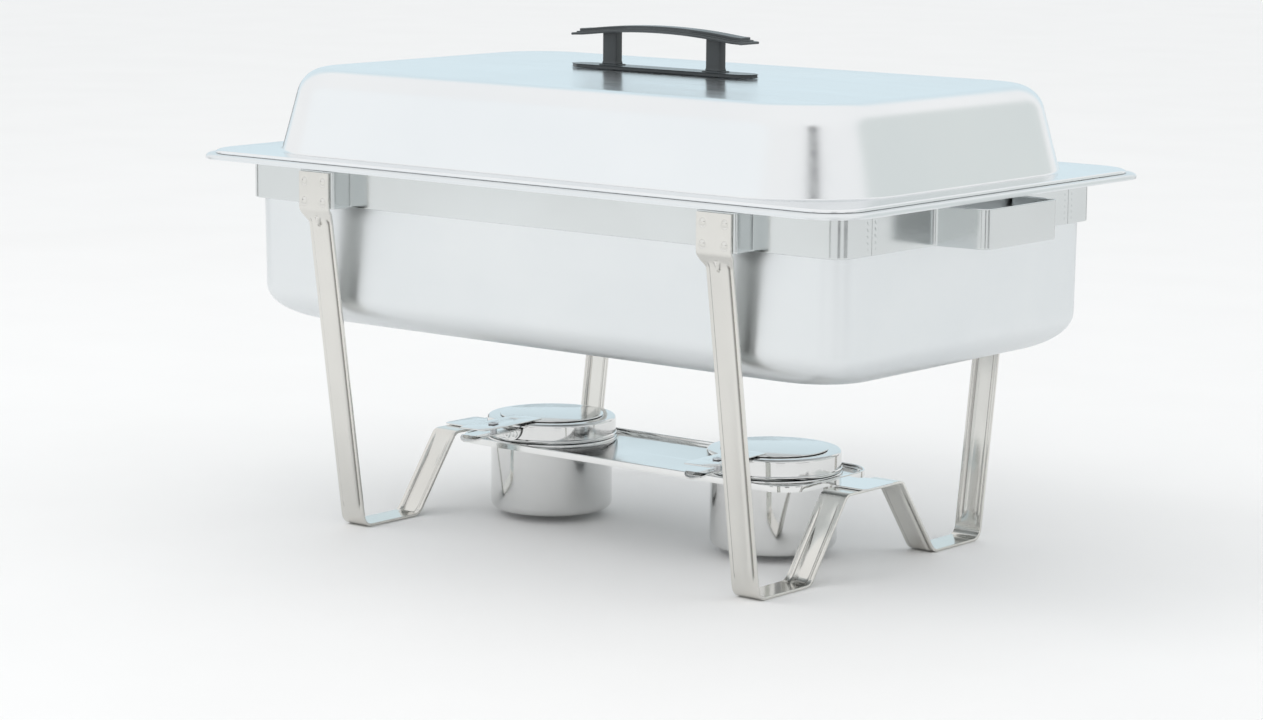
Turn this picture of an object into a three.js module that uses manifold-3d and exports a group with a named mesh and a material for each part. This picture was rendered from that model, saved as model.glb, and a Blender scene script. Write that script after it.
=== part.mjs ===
// A full-size chafing dish: a welded stainless stand on two bent leg strips, a water pan hanging
// in the stand's band, a food pan inside it, a domed lift-off cover, and two fuel holders that
// drop into a shelf under the pans. Millimetres, +X along the long side, +Y to the back, +Z up.
// The origin is on the table, under the middle of the dish.
import * as THREE from "three";
import { mergeVertices } from "three/addons/utils/BufferGeometryUtils.js";
import Module from "manifold-3d";

const wasm = await Module();
wasm.setup();

// Driving dimensions.
const GAP = 0.3; // between pieces that touch
const SHEET = 0.9; // pans and cover
const STRIP = 1.5; // band and end strips
const LEG_THICKNESS = 2;

const RIM = { halfX: 280, halfY: 178, corner: 31, top: 257.5, drop: 5.5 };
const BAND = { halfX: 255, halfY: 143.3, corner: 11, bottom: 226, height: 25.4, seamY: 111.5 };
const POCKET_FACE_Y = 161; // outer face of the box that carries a leg
const LEG_X = 172.2; // middle of a leg strip
const LEG_WIDTH = 21;
const PLATE_WIDTH = 27.5; // the leg's widened top, welded to the pocket
const POCKET_WIDTH = 31.5;
const LEG_TOP = { y: 157, z: 216 };
const FOOT = { outerY: 126, innerY: 70 };
const BRIDGE = { halfY: 31, top: 55.7 }; // raised middle of a leg strip, under the shelf
const END_GRIP = { reach: 37.5, halfY: 39.8, rootY: 43.5 };

const SHELF = { halfX: 150, halfY: 49.5, corner: 24, floor: 53, lip: 57.5 };
const TAB = { endX: 186.5, halfY: 17, thickness: 1 };
const HOLDER_X = 98.7;
const CUP = { radius: 43, bottom: 5, top: 66, bead: 47, edge: 5 };
const CAP = { radius: 45.6, top: 71.5, opening: 27 };
const DAMPER = { radius: 36.5, halfWidth: 12, pivotY: -66, endY: -90, thickness: 1 };
const LEVER_TURN = THREE.MathUtils.degToRad(3); // the levers stand a little off square
const BRACKET = { width: 18, top: 68.5, foot: 59, endY: -97, thickness: 1 };
const RIVET = { shank: 2.2, head: 4, collar: 3.4 };

const PAN = { bottom: 142, edge: 22, halfX: 252.6, halfY: 140.4, draft: 0.8, corner: 17 };
const LEDGE = { halfX: 259, halfY: 147.4, corner: 24, top: 252.6 };
const FOOD = { bottom: 194, edge: 20, halfX: 243, halfY: 131, draft: 3, corner: 40 };
const FOOD_RIM = { halfX: 270.5, halfY: 168.5, corner: 22 };
const COVER_RIM = { halfX: 273.5, halfY: 171.5, corner: 26 };
const DOME = { halfX: 251.3, halfY: 153.5, corner: 68, lean: 12, wall: 43, edge: 19, crown: 318.5 };

const GRIP_BASE = { halfX: 78, halfY: 8.5, thickness: 3 };
const GRIP = { halfX: 74, arc: 500, halfY: 10, ridgeHalfY: 6, under: 345.5, flange: 2.5, ridge: 2 };
const POST = { x: 45, sizeX: 12, sizeY: 8 };
const SCREW = { shank: 2, hole: 2.4, head: 4.5, headHeight: 2.5, top: 334 };
const WASHER = { radius: 6, thickness: 1 };

const FOOD_FLANGE = RIM.top + GAP; // underside of the food pan's flange
const COVER_FLANGE = FOOD_FLANGE + SHEET + GAP; // underside of the cover's flange
const CORNER_STEPS = 5;
const ROUND_STEPS = 24;
const RIGHT_ANGLE = Math.PI / 2;

const satinSteel = () =>
  new THREE.MeshStandardMaterial({ color: 0xd3dade, roughness: 0.42, metalness: 1 });
const brightSteel = () =>
  new THREE.MeshStandardMaterial({ color: 0xcfcfc8, roughness: 0.16, metalness: 1 });
const blackPlastic = () =>
  new THREE.MeshStandardMaterial({ color: 0x2f373a, roughness: 0.5, metalness: 0 });
const zincSteel = () =>
  new THREE.MeshStandardMaterial({ color: 0xb9bcbf, roughness: 0.35, metalness: 1 });

// Booleans.
function solidOf(geometry) {
  const bare = geometry.index ? geometry.toNonIndexed() : geometry.clone();
  bare.deleteAttribute("normal");
  bare.deleteAttribute("uv");
  const merged = mergeVertices(bare, 1e-4);
  return new wasm.Manifold(
    new wasm.Mesh({
      numProp: 3,
      vertProperties: merged.attributes.position.array,
      triVerts: new Uint32Array(merged.index.array),
    }),
  );
}

function geometryOf(solid) {
  const mesh = solid.getMesh();
  const geometry = new THREE.BufferGeometry();
  geometry.setAttribute("position", new THREE.BufferAttribute(mesh.vertProperties, 3));
  geometry.setIndex(new THREE.BufferAttribute(mesh.triVerts, 1));
  geometry.computeVertexNormals();
  return geometry;
}

const join = (...parts) =>
  geometryOf(parts.map(solidOf).reduce((whole, part) => whole.add(part)));
const cut = (body, ...tools) =>
  geometryOf(tools.map(solidOf).reduce((rest, tool) => rest.subtract(tool), solidOf(body)));
const common = (a, b) => geometryOf(solidOf(a).intersect(solidOf(b)));

// Pressed sheet: rings of rounded rectangles, one above the other, closed by a fan at each end.
function ringPoints({ halfX, halfY, corner, z }) {
  const points = [];
  for (let quarter = 0; quarter < 4; quarter++) {
    const signX = quarter === 0 || quarter === 3 ? 1 : -1;
    const signY = quarter < 2 ? 1 : -1;
    for (let step = 0; step <= CORNER_STEPS; step++) {
      const angle = (quarter + step / CORNER_STEPS) * RIGHT_ANGLE;
      const x = signX * (halfX - corner) + corner * Math.cos(angle);
      const y = signY * (halfY - corner) + corner * Math.sin(angle);
      points.push(x, y, z);
    }
  }
  return points;
}

function pressing(rings, firstZ, lastZ) {
  const count = 4 * (CORNER_STEPS + 1);
  const positions = [...rings.flatMap(ringPoints), 0, 0, firstZ, 0, 0, lastZ];
  const first = rings.length * count;
  const index = [];
  for (let i = 0; i < count; i++) {
    const next = (i + 1) % count;
    const top = first - count;
    index.push(first, next, i);
    index.push(first + 1, top + i, top + next);
    for (let ring = 0; ring < rings.length - 1; ring++) {
      const low = ring * count;
      const high = low + count;
      index.push(low + i, low + next, high + next);
      index.push(low + i, high + next, high + i);
    }
  }
  const geometry = new THREE.BufferGeometry();
  geometry.setAttribute("position", new THREE.Float32BufferAttribute(positions, 3));
  geometry.setIndex(index);
  geometry.computeVertexNormals();
  return geometry;
}

// One skin of a pan's bowl, from the flat bottom round the edge and up the wall to topZ.
function bowlRings(pan, inset, topZ) {
  const radius = pan.edge - inset;
  const steps = 4;
  const rings = [];
  for (let step = 0; step <= steps; step++) {
    const angle = (step / steps) * RIGHT_ANGLE;
    const back = pan.draft + inset + radius * (1 - Math.sin(angle));
    rings.push({
      halfX: pan.halfX - back,
      halfY: pan.halfY - back,
      corner: pan.corner + pan.edge / 4 - back / 2,
      z: pan.bottom + pan.edge - radius * Math.cos(angle),
    });
  }
  rings.push({
    halfX: pan.halfX - inset,
    halfY: pan.halfY - inset,
    corner: pan.corner - inset,
    z: topZ,
  });
  return rings;
}

const ringAt = (outline, inset, z) => ({
  halfX: outline.halfX - inset,
  halfY: outline.halfY - inset,
  corner: outline.corner - inset,
  z,
});

function waterPan() {
  const under = RIM.top - SHEET;
  const lipBottom = RIM.top - RIM.drop;
  const ledgeUnder = LEDGE.top - SHEET;
  return pressing(
    [
      ...bowlRings(PAN, 0, ledgeUnder),
      ringAt(LEDGE, 0, ledgeUnder),
      ringAt(LEDGE, 0, under),
      ringAt(RIM, SHEET, under),
      ringAt(RIM, SHEET, lipBottom),
      ringAt(RIM, 0, lipBottom),
      ringAt(RIM, 0, under),
      ringAt(RIM, SHEET, RIM.top),
      ringAt(LEDGE, SHEET, RIM.top),
      ringAt(LEDGE, SHEET, LEDGE.top),
      ...bowlRings(PAN, SHEET, LEDGE.top).reverse(),
    ],
    PAN.bottom,
    PAN.bottom + SHEET,
  );
}

function foodPan() {
  const top = FOOD_FLANGE + SHEET;
  return pressing(
    [
      ...bowlRings(FOOD, 0, FOOD_FLANGE),
      ringAt(FOOD_RIM, 0, FOOD_FLANGE),
      ringAt(FOOD_RIM, 0, top),
      ...bowlRings(FOOD, SHEET, top).reverse(),
    ],
    FOOD.bottom,
    FOOD.bottom + SHEET,
  );
}

// One skin of the dome, from the flange up the leaning wall and over the rounded edge.
function domeRings(inset) {
  const flangeTop = COVER_FLANGE + SHEET;
  const lean = Math.atan2(DOME.lean, DOME.wall);
  const radius = DOME.edge - inset;
  const steps = 4;
  const rings = [ringAt(DOME, inset, flangeTop - inset)];
  for (let step = 0; step <= steps; step++) {
    const angle = lean + (step / steps) * (RIGHT_ANGLE - lean);
    const back = DOME.lean + DOME.edge * Math.cos(lean) - radius * Math.cos(angle);
    rings.push({
      halfX: DOME.halfX - back,
      halfY: DOME.halfY - back,
      corner: DOME.corner - back,
      z: flangeTop + DOME.wall - DOME.edge * Math.sin(lean) + radius * Math.sin(angle),
    });
  }
  return rings;
}

function coverDome() {
  const lipBottom = RIM.top + GAP;
  const flangeTop = COVER_FLANGE + SHEET;
  const shell = pressing(
    [
      ...domeRings(SHEET).reverse(),
      ringAt(COVER_RIM, SHEET, COVER_FLANGE),
      ringAt(COVER_RIM, SHEET, lipBottom),
      ringAt(COVER_RIM, 0, lipBottom),
      ringAt(COVER_RIM, 0, flangeTop),
      ...domeRings(0),
    ],
    DOME.crown - SHEET,
    DOME.crown,
  );
  const bore = (x) => upright(SCREW.hole, COVER_FLANGE, DOME.crown + 1, x, 0);
  return cut(shell, bore(-POST.x), bore(POST.x));
}

// An upright cylinder from lowZ to highZ.
function upright(radius, lowZ, highZ, x, y) {
  const geometry = new THREE.CylinderGeometry(radius, radius, highZ - lowZ, ROUND_STEPS);
  geometry.rotateX(RIGHT_ANGLE);
  geometry.translate(x, y, (lowZ + highZ) / 2);
  return geometry;
}

// A turned piece from its profile of [radius, height] points.
function turned(profile, steps = ROUND_STEPS) {
  const points = profile.map(([radius, height]) => new THREE.Vector2(radius, height));
  const geometry = new THREE.LatheGeometry(points, steps);
  geometry.rotateX(RIGHT_ANGLE);
  return geometry;
}

// Bent strip: the middle line's corners are [u, v, bend radius]; the section is extruded.
function middleLine(corners) {
  const points = [];
  corners.forEach(([u, v, radius = 0], i) => {
    const here = new THREE.Vector2(u, v);
    if (!radius) {
      points.push(here);
      return;
    }
    const back = new THREE.Vector2(...corners[i - 1]).sub(here).normalize();
    const ahead = new THREE.Vector2(...corners[i + 1]).sub(here).normalize();
    const half = Math.acos(back.dot(ahead)) / 2;
    const toCentre = back.clone().add(ahead).normalize();
    const centre = here.clone().addScaledVector(toCentre, radius / Math.sin(half));
    const start = here.clone().addScaledVector(back, radius / Math.tan(half)).sub(centre);
    const turn = -Math.sign(back.cross(ahead)) * (Math.PI - 2 * half);
    const steps = Math.max(2, Math.ceil((Math.abs(turn) / RIGHT_ANGLE) * 4));
    for (let step = 0; step <= steps; step++) {
      const arm = start.clone().rotateAround(new THREE.Vector2(), (turn * step) / steps);
      points.push(arm.add(centre));
    }
  });
  return points;
}

function sideOf(line, distance) {
  return line.map((point, i) => {
    const before = line[Math.max(i - 1, 0)];
    const after = line[Math.min(i + 1, line.length - 1)];
    const first = point.clone().sub(before).normalize();
    const second = after.clone().sub(point).normalize();
    const along = first.clone().add(second).normalize();
    const spread = Math.max(first.dot(along), second.dot(along));
    return new THREE.Vector2(-along.y, along.x).multiplyScalar(distance / spread).add(point);
  });
}

function bentStrip(corners, thickness, width) {
  const line = middleLine(corners);
  const outline = [...sideOf(line, thickness / 2), ...sideOf(line, -thickness / 2).reverse()];
  return new THREE.ExtrudeGeometry(new THREE.Shape(outline), { depth: width, bevelEnabled: false });
}

// Places a section drawn in (Y, Z) so that its extrusion runs along +X, centred on x.
function acrossX(geometry, width, x = 0) {
  const [X, Y, Z] = [[1, 0, 0], [0, 1, 0], [0, 0, 1]].map((axis) => new THREE.Vector3(...axis));
  geometry.applyMatrix4(new THREE.Matrix4().makeBasis(Y, Z, X));
  geometry.translate(x - width / 2, 0, 0);
  return geometry;
}

// Places a section drawn in (X, Z) so that its extrusion runs along Y, centred on y = 0.
function acrossY(geometry, width) {
  geometry.rotateX(RIGHT_ANGLE);
  geometry.translate(0, width / 2, 0);
  return geometry;
}

// The long-side band: it wraps both corners and steps out into a box pocket at each leg.
function longBand() {
  const x = BAND.halfX - STRIP / 2;
  const y = BAND.halfY - STRIP / 2;
  const pocketY = POCKET_FACE_Y - STRIP / 2;
  const near = LEG_X - POCKET_WIDTH / 2 + STRIP / 2;
  const far = LEG_X + POCKET_WIDTH / 2 - STRIP / 2;
  const rightHalf = [
    [near, -y, 2],
    [near, -pocketY, 1.5],
    [far, -pocketY, 1.5],
    [far, -y, 2],
    [x, -y, BAND.corner],
    [x, -BAND.seamY],
  ];
  const leftHalf = rightHalf.map(([u, v, radius]) => [-u, v, radius]).reverse();
  const band = bentStrip([...leftHalf, ...rightHalf], STRIP, BAND.height);
  band.translate(0, 0, BAND.bottom);
  return band;
}

// The short-side strip, whose middle bends out into a grip.
function endStrip() {
  const x = BAND.halfX - STRIP / 2;
  const out = x + END_GRIP.reach;
  const half = [
    [out, END_GRIP.halfY, 5],
    [x, END_GRIP.rootY, 4],
    [x, BAND.seamY - GAP],
  ];
  const mirrored = half.map(([u, v, radius]) => [u, -v, radius]).reverse();
  const strip = bentStrip([...mirrored, ...half], STRIP, BAND.height);
  strip.translate(0, 0, BAND.bottom);
  return strip;
}

// Two legs and their feet in one strip, bent like a W seen from the side.
function legStrip() {
  const t = LEG_THICKNESS / 2;
  const plateY = POCKET_FACE_Y + GAP + t;
  const bandTop = BAND.bottom + BAND.height;
  const half = [
    [BRIDGE.halfY, BRIDGE.top - t, 7],
    [FOOT.innerY, t, 9],
    [FOOT.outerY - t, t, 8],
    [LEG_TOP.y - t, LEG_TOP.z, 6],
    [plateY, BAND.bottom - 1, 4],
    [plateY, bandTop - 1],
  ];
  const mirrored = half.map(([u, v, radius]) => [-u, v, radius]).reverse();
  const side = acrossX(bentStrip([...mirrored, ...half], 2 * t, PLATE_WIDTH), PLATE_WIDTH);
  const outline = [
    [LEG_WIDTH / 2, -1],
    [LEG_WIDTH / 2, LEG_TOP.z - 3],
    [PLATE_WIDTH / 2, BAND.bottom - 2],
    [PLATE_WIDTH / 2, bandTop],
  ];
  const front = [...outline, ...outline.map(([u, v]) => [-u, v]).reverse()];
  const shape = new THREE.Shape(front.map((corner) => new THREE.Vector2(...corner)));
  const depth = 2 * (plateY + LEG_THICKNESS);
  const trim = new THREE.ExtrudeGeometry(shape, { depth, bevelEnabled: false });
  return common(side, acrossY(trim, depth));
}

function flatPlate(points, holes, lowZ, thickness) {
  const shape = new THREE.Shape(points.map(([x, y]) => new THREE.Vector2(x, y)));
  shape.holes = holes.map(([x, y, radius]) => new THREE.Path().absarc(x, y, radius, 0, 2 * Math.PI));
  const plate = new THREE.ExtrudeGeometry(shape, {
    depth: thickness,
    bevelEnabled: false,
    curveSegments: ROUND_STEPS / 2,
  });
  plate.translate(0, 0, lowZ);
  return plate;
}

function outlinePoints(outline) {
  const flat = ringPoints({ ...outline, z: 0 });
  return Array.from({ length: flat.length / 3 }, (_, i) => [flat[3 * i], flat[3 * i + 1]]);
}

function burnerShelf() {
  const cupHole = CUP.radius + 1.2;
  const lipWidth = 1.8;
  const outer = outlinePoints(SHELF);
  const holes = [-HOLDER_X, HOLDER_X].map((x) => [x, 0, cupHole]);
  const floor = flatPlate(outer, holes, SHELF.floor, 1);
  const lip = cut(
    flatPlate(outer, [], SHELF.floor, SHELF.lip - SHELF.floor),
    flatPlate(outlinePoints(ringAt(SHELF, lipWidth, 0)), [], 0, SHELF.lip + 1),
  );
  const tabZ = BRIDGE.top + GAP;
  const tabs = [-1, 1].map((side) => {
    const [root, end] = [side * (SHELF.halfX - 1.5), side * TAB.endX];
    const ends = [[root, -TAB.halfY], [end, -TAB.halfY], [end, TAB.halfY], [root, TAB.halfY]];
    return flatPlate(ends, [], tabZ, TAB.thickness);
  });
  return join(floor, lip, ...tabs);
}

// Fuel holder: cup, cap with a round opening, bracket, rivet and swinging damper.
function holderCup() {
  const beadLow = SHELF.floor + 1 + GAP;
  const beadHigh = SHELF.lip;
  return turned([
    [0, CUP.bottom],
    [CUP.radius - CUP.edge, CUP.bottom],
    [CUP.radius - CUP.edge * 0.3, CUP.bottom + CUP.edge * 0.3],
    [CUP.radius, CUP.bottom + CUP.edge],
    [CUP.radius, beadLow],
    [CUP.bead, beadLow],
    [CUP.bead, beadHigh],
    [CUP.radius, beadHigh],
    [CUP.radius, CUP.top],
    [CUP.radius - SHEET, CUP.top],
    [CUP.radius - SHEET, CUP.bottom + CUP.edge],
    [CUP.radius - CUP.edge, CUP.bottom + SHEET],
    [0, CUP.bottom + SHEET],
  ]);
}

function holderCap() {
  const shoulder = 1.2;
  const low = SHELF.lip + GAP;
  const inner = CAP.radius - SHEET;
  const under = CAP.top - SHEET;
  return turned([
    [inner, low],
    [CAP.radius, low],
    [CAP.radius, CAP.top - shoulder],
    [CAP.radius - shoulder, CAP.top],
    [CAP.opening, CAP.top],
    [CAP.opening, under],
    [inner - shoulder, under],
    [inner, under - shoulder],
    [inner, low],
  ]);
}

function damperPlate() {
  const { radius, halfWidth, pivotY, endY, thickness } = DAMPER;
  const meet = Math.asin(halfWidth / radius);
  const arcSteps = ROUND_STEPS;
  const points = [[-halfWidth, endY], [halfWidth, endY]];
  for (let step = 0; step <= arcSteps; step++) {
    const angle = meet - RIGHT_ANGLE + (step / arcSteps) * (2 * Math.PI - 2 * meet);
    points.push([radius * Math.cos(angle), radius * Math.sin(angle)]);
  }
  const hole = [0, pivotY, RIVET.shank + GAP];
  return flatPlate(points, [hole], CAP.top + GAP, thickness);
}

function damperBracket() {
  const { width, top, foot, endY, thickness } = BRACKET;
  const y = -(CAP.radius + GAP + thickness / 2);
  const level = top - thickness / 2;
  const side = [
    [y, foot],
    [y, level, 1.5],
    [DAMPER.endY, level, 3],
    [endY, level - 2.5],
  ];
  const strip = acrossX(bentStrip(side, thickness, width), width);
  return cut(strip, upright(RIVET.shank + GAP, foot, top + 1, 0, DAMPER.pivotY));
}

function pivotRivet() {
  const { shank, head, collar } = RIVET;
  const headHeight = 1.1;
  const bracketUnder = BRACKET.top - BRACKET.thickness - GAP;
  const leverUnder = CAP.top;
  const leverTop = CAP.top + DAMPER.thickness + 2 * GAP;
  const rivet = turned([
    [0, bracketUnder - headHeight],
    [head, bracketUnder - headHeight],
    [head, bracketUnder],
    [shank, bracketUnder],
    [shank, BRACKET.top + GAP],
    [collar, BRACKET.top + GAP],
    [collar, leverUnder],
    [shank, leverUnder],
    [shank, leverTop],
    [head, leverTop],
    [head - 1, leverTop + headHeight],
    [0, leverTop + headHeight],
  ]);
  rivet.translate(0, DAMPER.pivotY, 0);
  return rivet;
}

// Cover handle: a plate on the dome, two posts and an arched grip with a ridge.
const BASE_LOW = DOME.crown + GAP;
const BASE_HIGH = BASE_LOW + GRIP_BASE.thickness;

function handleBase() {
  const { halfX, halfY, thickness } = GRIP_BASE;
  const quarter = [[halfX, 3], [halfX - 7, halfY]];
  const upper = [...quarter, ...quarter.map(([x, y]) => [-x, y]).reverse()];
  const outline = [...upper, ...upper.map(([x, y]) => [x, -y]).reverse()];
  const holes = [-POST.x, POST.x].map((x) => [x, 0, SCREW.hole]);
  return flatPlate(outline, holes, BASE_LOW, thickness);
}

function archedBar(halfX, low, high, width) {
  const { arc, under } = GRIP;
  const reach = Math.asin(halfX / arc);
  const shape = new THREE.Shape();
  shape.absarc(0, under - arc, arc + low, RIGHT_ANGLE + reach, RIGHT_ANGLE - reach, true);
  shape.absarc(0, under - arc, arc + high, RIGHT_ANGLE - reach, RIGHT_ANGLE + reach, false);
  const settings = { depth: width, bevelEnabled: false, curveSegments: 12 };
  return acrossY(new THREE.ExtrudeGeometry(shape, settings), width);
}

function handleGrip() {
  const { halfX, halfY, ridgeHalfY, flange, ridge } = GRIP;
  const bar = archedBar(halfX, 0, flange, 2 * halfY);
  const crest = archedBar(halfX - 4, flange / 2, flange + ridge, 2 * ridgeHalfY);
  const low = BASE_HIGH + GAP;
  const high = GRIP.under;
  const posts = [-POST.x, POST.x].map((x) => {
    const post = new THREE.BoxGeometry(POST.sizeX, POST.sizeY, high - low);
    post.translate(x, 0, (low + high) / 2);
    return post;
  });
  const screwHoles = [-POST.x, POST.x].map((x) => upright(SCREW.hole, low - 1, SCREW.top + 1, x, 0));
  return cut(join(bar, crest, ...posts), ...screwHoles);
}

const WASHER_TOP = DOME.crown - SHEET - 2 * GAP;

function handleWasher() {
  const low = WASHER_TOP - WASHER.thickness;
  const { radius } = WASHER;
  const { hole } = SCREW;
  return turned([[hole, low], [radius, low], [radius, WASHER_TOP], [hole, WASHER_TOP], [hole, low]]);
}

function handleScrew() {
  const { shank, head, headHeight, top } = SCREW;
  const seat = WASHER_TOP - WASHER.thickness - GAP;
  const low = seat - headHeight;
  return turned(
    [[0, low], [head - 1, low], [head, low + 1], [head, seat], [shank, seat], [shank, top], [0, top]],
    ROUND_STEPS / 2,
  );
}

// Assembly.
const chafingDish = new THREE.Group();

function place(parent, name, geometry, material, x = 0, turnZ = 0) {
  const mesh = new THREE.Mesh(geometry, material);
  mesh.name = name;
  mesh.position.x = x;
  mesh.rotation.z = turnZ;
  parent.add(mesh);
}

function stand() {
  const group = new THREE.Group();
  place(group, "front_band", longBand(), brightSteel());
  place(group, "rear_band", longBand(), brightSteel(), 0, Math.PI);
  place(group, "right_end_strip", endStrip(), brightSteel());
  place(group, "left_end_strip", endStrip(), brightSteel(), 0, Math.PI);
  place(group, "right_leg_strip", legStrip(), brightSteel(), LEG_X);
  place(group, "left_leg_strip", legStrip(), brightSteel(), -LEG_X);
  place(group, "burner_shelf", burnerShelf(), brightSteel());
  return group;
}

function fuelHolder(side) {
  const group = new THREE.Group();
  place(group, `${side}_cup`, holderCup(), brightSteel());
  place(group, `${side}_cap`, holderCap(), brightSteel());
  place(group, `${side}_damper_bracket`, damperBracket(), brightSteel());
  place(group, `${side}_pivot_rivet`, pivotRivet(), zincSteel());
  place(group, `${side}_damper`, damperPlate(), brightSteel());
  group.rotation.z = LEVER_TURN;
  group.position.x = side === "left" ? -HOLDER_X : HOLDER_X;
  return group;
}

function cover() {
  const group = new THREE.Group();
  place(group, "cover_dome", coverDome(), satinSteel());
  place(group, "handle_base", handleBase(), blackPlastic());
  place(group, "handle_grip", handleGrip(), blackPlastic());
  for (const [side, x] of [["left", -POST.x], ["right", POST.x]]) {
    place(group, `${side}_handle_washer`, handleWasher(), zincSteel(), x);
    place(group, `${side}_handle_screw`, handleScrew(), zincSteel(), x);
  }
  return group;
}

chafingDish.add(stand(), fuelHolder("left"), fuelHolder("right"), cover());
place(chafingDish, "water_pan", waterPan(), satinSteel());
place(chafingDish, "food_pan", foodPan(), satinSteel());

export default chafingDish;
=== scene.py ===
"""A chafing dish on its bent-strip stand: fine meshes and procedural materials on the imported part."""

import math

import bmesh
import bpy
from mathutils import Matrix, Vector


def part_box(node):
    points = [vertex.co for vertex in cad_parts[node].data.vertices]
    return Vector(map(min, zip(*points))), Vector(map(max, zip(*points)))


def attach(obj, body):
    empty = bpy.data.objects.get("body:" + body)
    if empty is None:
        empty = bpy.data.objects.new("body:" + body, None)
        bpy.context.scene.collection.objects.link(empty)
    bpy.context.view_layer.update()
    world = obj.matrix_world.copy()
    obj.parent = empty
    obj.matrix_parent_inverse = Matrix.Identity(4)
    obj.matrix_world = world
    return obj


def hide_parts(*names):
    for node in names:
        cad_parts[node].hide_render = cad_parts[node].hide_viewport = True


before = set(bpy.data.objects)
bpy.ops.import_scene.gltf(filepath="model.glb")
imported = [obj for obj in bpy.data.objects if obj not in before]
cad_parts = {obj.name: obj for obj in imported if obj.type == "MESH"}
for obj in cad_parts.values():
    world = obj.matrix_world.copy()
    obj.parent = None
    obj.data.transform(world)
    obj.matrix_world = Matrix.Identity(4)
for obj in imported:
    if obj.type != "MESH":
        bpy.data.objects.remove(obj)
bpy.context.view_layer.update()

MM = 0.001
SHEET = 0.9 * MM
STRIP = 1.5 * MM
LEG_THICKNESS = 2 * MM
GAP = 0.3 * MM
RIGHT_ANGLE = math.pi / 2
SIDES = (("left", -1), ("right", 1))

# The frame's own places.
PAN_LOW, PAN_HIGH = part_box("water_pan")
FOOD_LOW, FOOD_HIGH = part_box("food_pan")
DOME_LOW, DOME_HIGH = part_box("cover_dome")
BAND_LOW, BAND_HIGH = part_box("front_band")
LEG_LOW, LEG_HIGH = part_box("right_leg_strip")
END_LOW, END_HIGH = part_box("right_end_strip")
SHELF_LOW, SHELF_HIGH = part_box("burner_shelf")
BASE_LOW, BASE_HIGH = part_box("handle_base")
CUP_LOW, CUP_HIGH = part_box("right_cup")
CAP_LOW, CAP_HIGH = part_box("right_cap")

# Places that several pieces share. The levers swing about PIVOT_Y and rest turned by LEVER_TURN.
LEG_X = (LEG_LOW.x + LEG_HIGH.x) / 2
HOLDER_X = (CUP_LOW.x + CUP_HIGH.x) / 2
LEVER_TURN = math.radians(3)
PIVOT_Y = -66 * MM
CAP_RADIUS = 45.6 * MM


# ---------------------------------------------------------------- materials

def new_material(name):
    """A material with one Principled shader: the material, its node tree and the shader."""
    material = bpy.data.materials.new(name)
    material.use_nodes = True
    tree = material.node_tree
    tree.nodes.clear()
    output = tree.nodes.new("ShaderNodeOutputMaterial")
    shader = tree.nodes.new("ShaderNodeBsdfPrincipled")
    tree.links.new(shader.outputs["BSDF"], output.inputs["Surface"])
    return material, tree, shader


def noise(tree, scale, stretch=(1, 1, 1), detail=3.0, roughness=0.5):
    """A noise over the object's own coordinates, stretched by axis."""
    place = tree.nodes.new("ShaderNodeTexCoord")
    mapping = tree.nodes.new("ShaderNodeMapping")
    mapping.inputs["Scale"].default_value = stretch
    texture = tree.nodes.new("ShaderNodeTexNoise")
    texture.inputs["Scale"].default_value = scale
    texture.inputs["Detail"].default_value = detail
    texture.inputs["Roughness"].default_value = roughness
    tree.links.new(place.outputs["Object"], mapping.inputs["Vector"])
    tree.links.new(mapping.outputs["Vector"], texture.inputs["Vector"])
    return texture.outputs["Fac"]


def ranged(tree, value, low, high, new_low, new_high):
    """A value moved from one range to another, and kept inside it."""
    node = tree.nodes.new("ShaderNodeMapRange")
    node.inputs["From Min"].default_value = low
    node.inputs["From Max"].default_value = high
    node.inputs["To Min"].default_value = new_low
    node.inputs["To Max"].default_value = new_high
    tree.links.new(value, node.inputs["Value"])
    return node.outputs["Result"]


def arithmetic(tree, operation, first, second):
    node = tree.nodes.new("ShaderNodeMath")
    node.operation = operation
    for socket, value in zip(node.inputs, (first, second)):
        if isinstance(value, (int, float)):
            socket.default_value = value
        else:
            tree.links.new(value, socket)
    return node.outputs["Value"]


def mixed(tree, factor, first, second):
    """A mix of two colours. The Mix node's colour sockets are its inputs 6 and 7 and its output 2."""
    node = tree.nodes.new("ShaderNodeMix")
    node.data_type = "RGBA"
    tree.links.new(factor, node.inputs["Factor"])
    for socket, value in ((node.inputs[6], first), (node.inputs[7], second)):
        if isinstance(value, tuple):
            socket.default_value = (*value, 1)
        else:
            tree.links.new(value, socket)
    return node.outputs[2]


def pointiness_mask(tree, low=0.52, high=0.62):
    """1 on convex edges, where the colour gets a painted paler highlight and handling has smoothed the
    surface; with low above high it is 1 in hollows instead.
    """
    geometry = tree.nodes.new("ShaderNodeNewGeometry")
    return ranged(tree, geometry.outputs["Pointiness"], low, high, 0, 1)


def bumped(tree, shader, heights, distance):
    """Chains bumps, each a (height, strength) pair, into the shader's normal."""
    normal = None
    for height, strength in heights:
        bump = tree.nodes.new("ShaderNodeBump")
        bump.inputs["Strength"].default_value = strength
        bump.inputs["Distance"].default_value = distance
        tree.links.new(height, bump.inputs["Height"])
        if normal:
            tree.links.new(normal, bump.inputs["Normal"])
        normal = bump.outputs["Normal"]
    tree.links.new(normal, shader.inputs["Normal"])


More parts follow.
